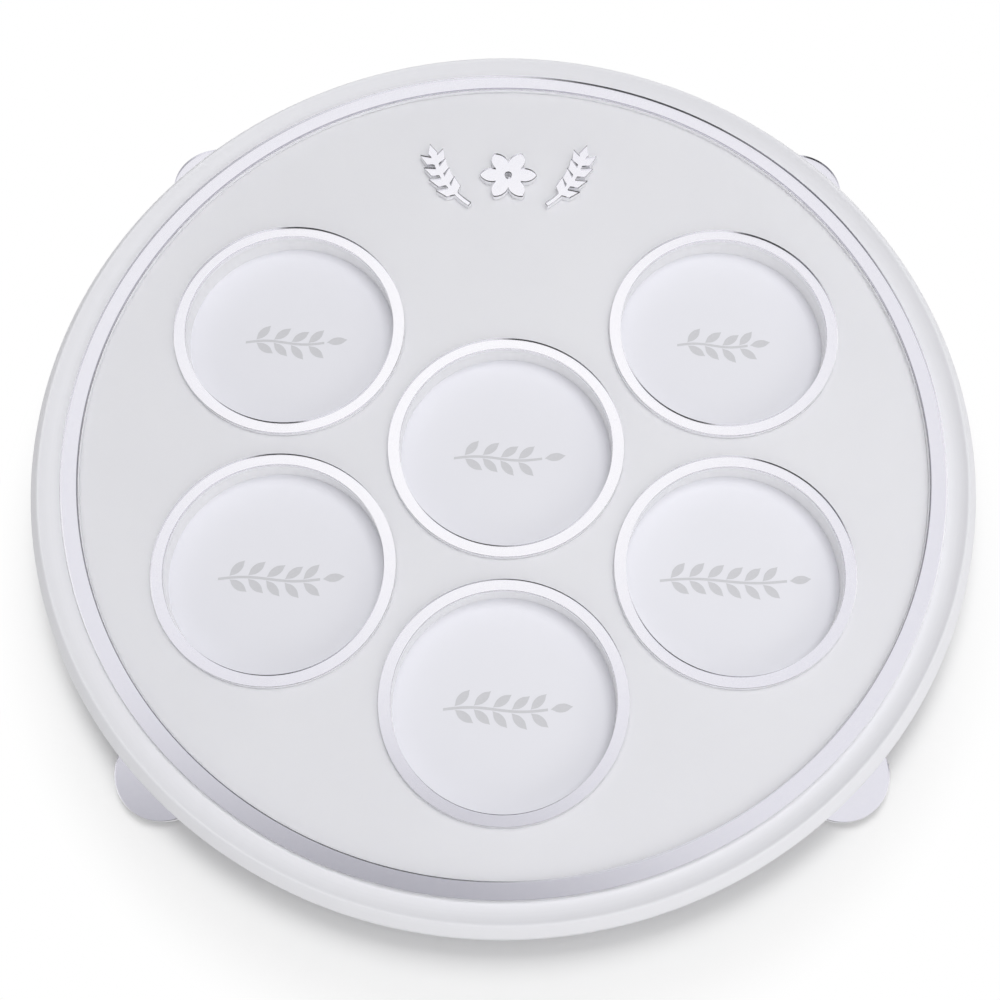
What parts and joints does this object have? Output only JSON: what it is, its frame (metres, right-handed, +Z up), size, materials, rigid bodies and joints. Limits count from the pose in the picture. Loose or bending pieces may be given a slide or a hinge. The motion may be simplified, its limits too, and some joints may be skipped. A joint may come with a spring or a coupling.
{
  "type": "seder plate",
  "caption": "Round frosted acrylic seder plate with ring-trimmed round recesses, a raised lip, raised mirror ornaments and disc feet; holds portions of ritual foods.",
  "frame": {"origin": "middle of the plate, on the surface that its pads stand on", "axes": "+Z up out of the recesses, +Y towards the raised ornaments, +X to the user's right"},
  "size_m": [0.3651, 0.3652, 0.019],
  "materials": {
    "white_acrylic": "satin",
    "frosted_acrylic": "matte",
    "silver_mirror": "polished",
    "clear_pad": "satin"
  },
  "bodies": {
    "root": {"base_plate": "white_acrylic", "top_plate": "frosted_acrylic", "rim_ring": "silver_mirror", "ring_centre": "silver_mirror", "ring_upper_right": "silver_mirror", "ring_upper_left": "silver_mirror", "ring_left": "silver_mirror", "ring_bottom": "silver_mirror", "ring_right": "silver_mirror", "ornament_centre": "silver_mirror", "ornament_left": "silver_mirror", "ornament_right": "silver_mirror", "foot_back_right": "silver_mirror", "foot_back_left": "silver_mirror", "foot_front_left": "silver_mirror", "foot_front_right": "silver_mirror", "pad_back_right": "clear_pad", "pad_back_left": "clear_pad", "pad_front_left": "clear_pad", "pad_front_right": "clear_pad"}
  },
  "joints": []
}
